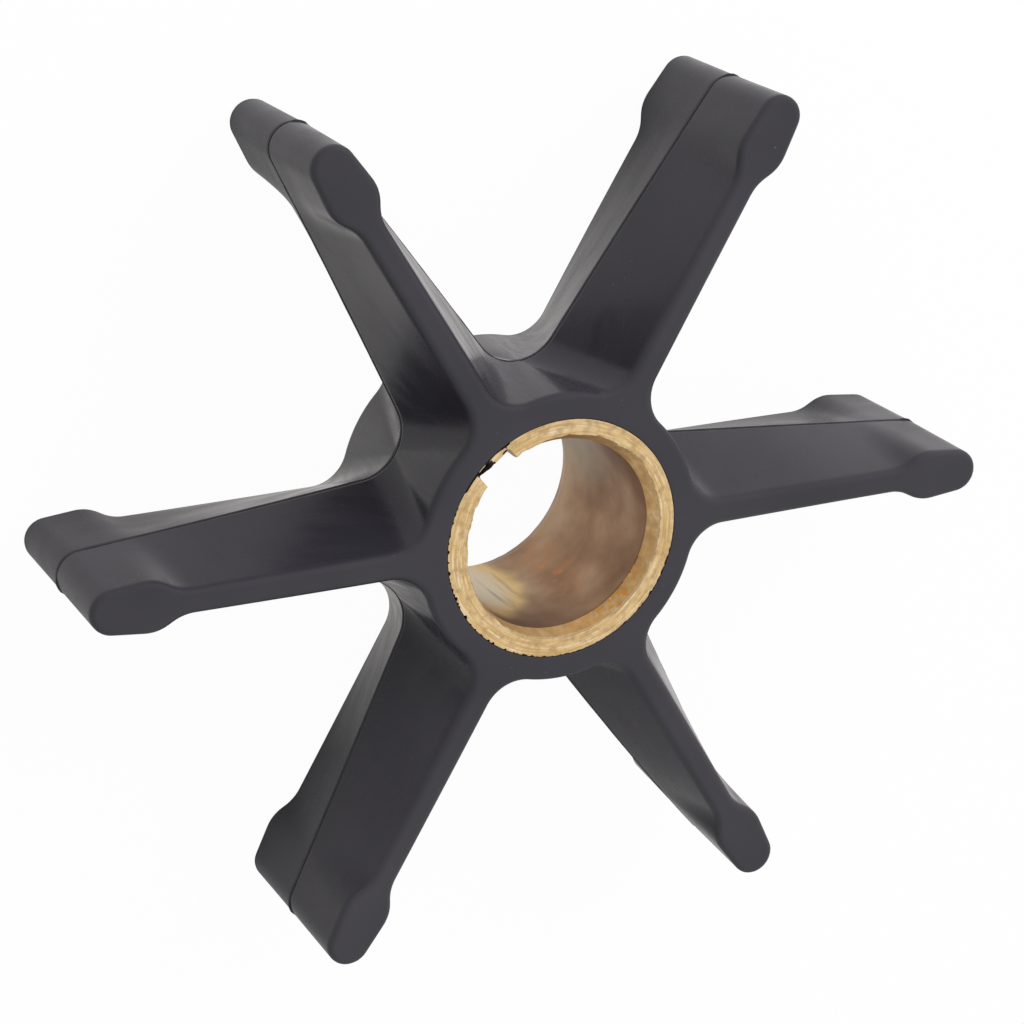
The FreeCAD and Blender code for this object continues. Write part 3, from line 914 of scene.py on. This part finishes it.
studio = {                   # metres for the floor, millimetres for the painted patches
    "floorWidth": 4.0,
    "cameraGlow": 0.97,      # share of the floor that shows as plain white to the eye
    "cardPlace": (-4, 6, 0),    # a glowing patch under the bore: painted reflection of white floor
    "cardRadius": 8.0,
    "cardFade": 22.0,        # how far out it fades
    "cardGlow": 1.0,
    "sidePlace": (22, -26, 0),    # a small glowing patch: painted reflection of lit floor where the lower right vane's far flank mirrors it
    "sideRadius": 5.0,
    "sideFade": 9.0,
    "sideGlow": 0.9,
    "darkPlace": (-2, -46, 0),    # and a dark patch below the lower vanes: painted shadow in the floor's reflections
    "darkRadius": 10.0,
    "darkFade": 18.0,
    "darkShare": 0.42,
    "worldStrength": 0.7,
}
# for each lamp: degrees round from +X and above the floor, distance and size in metres, watts, and
# whether glossy surfaces mirror it
lamps = {
    "windowLight": (54, 35, 0.5, (0.5, 0.4), 2.8, False),
    "overheadSoftBox": (-41, 58, 0.5, (0.9, 0.9), 0.4, True),
}
view = {                     # millimetres and degrees, solved from the object's own outline
    "place": (-95.90, 84.36, 208.14),
    "turn": (-21.061, -25.518, 0.15),
    "lens": 104.14,
    "sensor": 36.0,
}


def makeStage():
    startClean()
    bpy.ops.mesh.primitive_plane_add(size=studio["floorWidth"], location=(0, 0, -0.02 * mm))
    floor = bpy.context.object
    floor.name = "floor"
    m = newMaterial("paleFloor")
    rays = addNode(m, "LightPath")
    mirrored = addNode(
        m, "Math", {"operation": "MAXIMUM"},
        {0: rays.outputs["Is Glossy Ray"], 1: rays.outputs["Is Transmission Ray"]},
    )
    spots = addNode(m, "TexCoord").outputs["Object"]

    def paintedPatchShare(kind, middle):    # the share of a round painted patch, whole at its middle and fading out to none
        place = [part * mm for part in studio[kind + "Place"]]
        shifted = addNode(m, "VectorMath", {"operation": "SUBTRACT", 1: place}, {0: spots})
        out = addNode(m, "VectorMath", {"operation": "LENGTH"}, {0: shifted.outputs[0]})
        radius, fade = studio[kind + "Radius"] * mm, studio[kind + "Fade"] * mm
        ends = {"From Min": radius, "From Max": radius + fade, "To Min": middle, "To Max": 0.0}
        return addNode(m, "MapRange", ends, {"Value": out.outputs["Value"]})

    # painted reflections: glossy rays see the floor glow over the two bright patches
    card = paintedPatchShare("card", studio["cardGlow"])
    side = paintedPatchShare("side", studio["sideGlow"])
    paintedGlowPatches = addNode(m, "Math", {"operation": "MAXIMUM"}, {0: card.outputs[0], 1: side.outputs[0]})
    # painted shadow: glossy rays see the floor darkened towards #1c1c1c over the dark patch
    dark = paintedPatchShare("dark", studio["darkShare"])
    paintedShadowInMirrors = addNode(m, "Math", {"operation": "MULTIPLY"}, {0: mirrored.outputs[0], 1: dark.outputs[0]})
    floorWithPaintedShadow = addNode(
        m, "Mix", {"data_type": "RGBA", 6: linear("#cecccb"), 7: linear("#1c1c1c")}, {0: paintedShadowInMirrors.outputs[0]},
    )
    paintedGlowInMirrors = addNode(m, "Math", {"operation": "MULTIPLY"}, {0: mirrored.outputs[0], 1: paintedGlowPatches.outputs[0]})
    share = addNode(
        m, "Math", {"operation": "MULTIPLY_ADD", 1: studio["cameraGlow"]},
        {0: rays.outputs["Is Camera Ray"], 2: paintedGlowInMirrors.outputs[0]},
    )
    matt = addNode(m, "BsdfDiffuse", None, {"Color": floorWithPaintedShadow.outputs[2]})
    tint = addNode(
        m, "Mix", {"data_type": "RGBA", 6: linear("#fffcfa"), 7: (1, 1, 1, 1)},
        {0: rays.outputs["Is Camera Ray"]},
    )
    glow = addNode(m, "Emission", {"Strength": 1.0}, {"Color": tint.outputs[2]})
    blend = addNode(m, "MixShader", None, {0: share.outputs[0], 1: matt.outputs[0], 2: glow.outputs[0]})
    addNode(m, "OutputMaterial", None, {"Surface": blend.outputs[0]})
    floor.data.materials.append(m)

    world = bpy.data.worlds.new("softRoom")
    bpy.context.scene.world = world
    world.use_nodes = True
    back = world.node_tree.nodes["Background"]
    back.inputs["Color"].default_value = (1, 1, 1, 1)
    back.inputs["Strength"].default_value = studio["worldStrength"]

    for name, (turn, rise, distance, size, power, inMirrors) in lamps.items():
        turn, rise = math.radians(turn), math.radians(rise)
        way = Vector((math.cos(turn) * math.cos(rise), math.sin(turn) * math.cos(rise), math.sin(rise)))
        bpy.ops.object.light_add(type="AREA", location=way * distance)
        lamp = bpy.context.object
        lamp.name = name
        lamp.rotation_euler = way.to_track_quat("Z", "Y").to_euler()
        lamp.data.shape = "RECTANGLE"
        lamp.data.size, lamp.data.size_y = size
        lamp.data.energy = power
        lamp.visible_camera = False
        lamp.visible_glossy = inMirrors


def makeCamera():
    eye = bpy.data.cameras.new("photoView")
    eye.lens = view["lens"]
    eye.sensor_width = view["sensor"]
    eye.clip_start = 0.01
    camera = bpy.data.objects.new("photoView", eye)
    camera.location = Vector(view["place"]) * mm
    camera.rotation_euler = [math.radians(turn) for turn in view["turn"]]
    bpy.context.scene.collection.objects.link(camera)
    bpy.context.scene.camera = camera


bpy.context.scene.view_settings.view_transform = "Standard"

rubber = makeRubber()
rubber.data.materials.append(mouldedNitrile())
print("rubber modelled:", len(rubber.data.polygons), "faces")

brass = makeBushing()
paintBushing(brass, facedBrass(), leadInBrass(), oxidisedBore(), grimeAndPaintedShade())
print("bushing modelled:", len(brass.data.polygons), "faces")

for piece, node, slot in ((rubber, "rubber_vanes", "rubber"), (brass, "brass_bushing", "brass")):
    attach(piece, "root")
    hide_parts(node)

makeStage()
makeCamera()
print("stage and camera set")
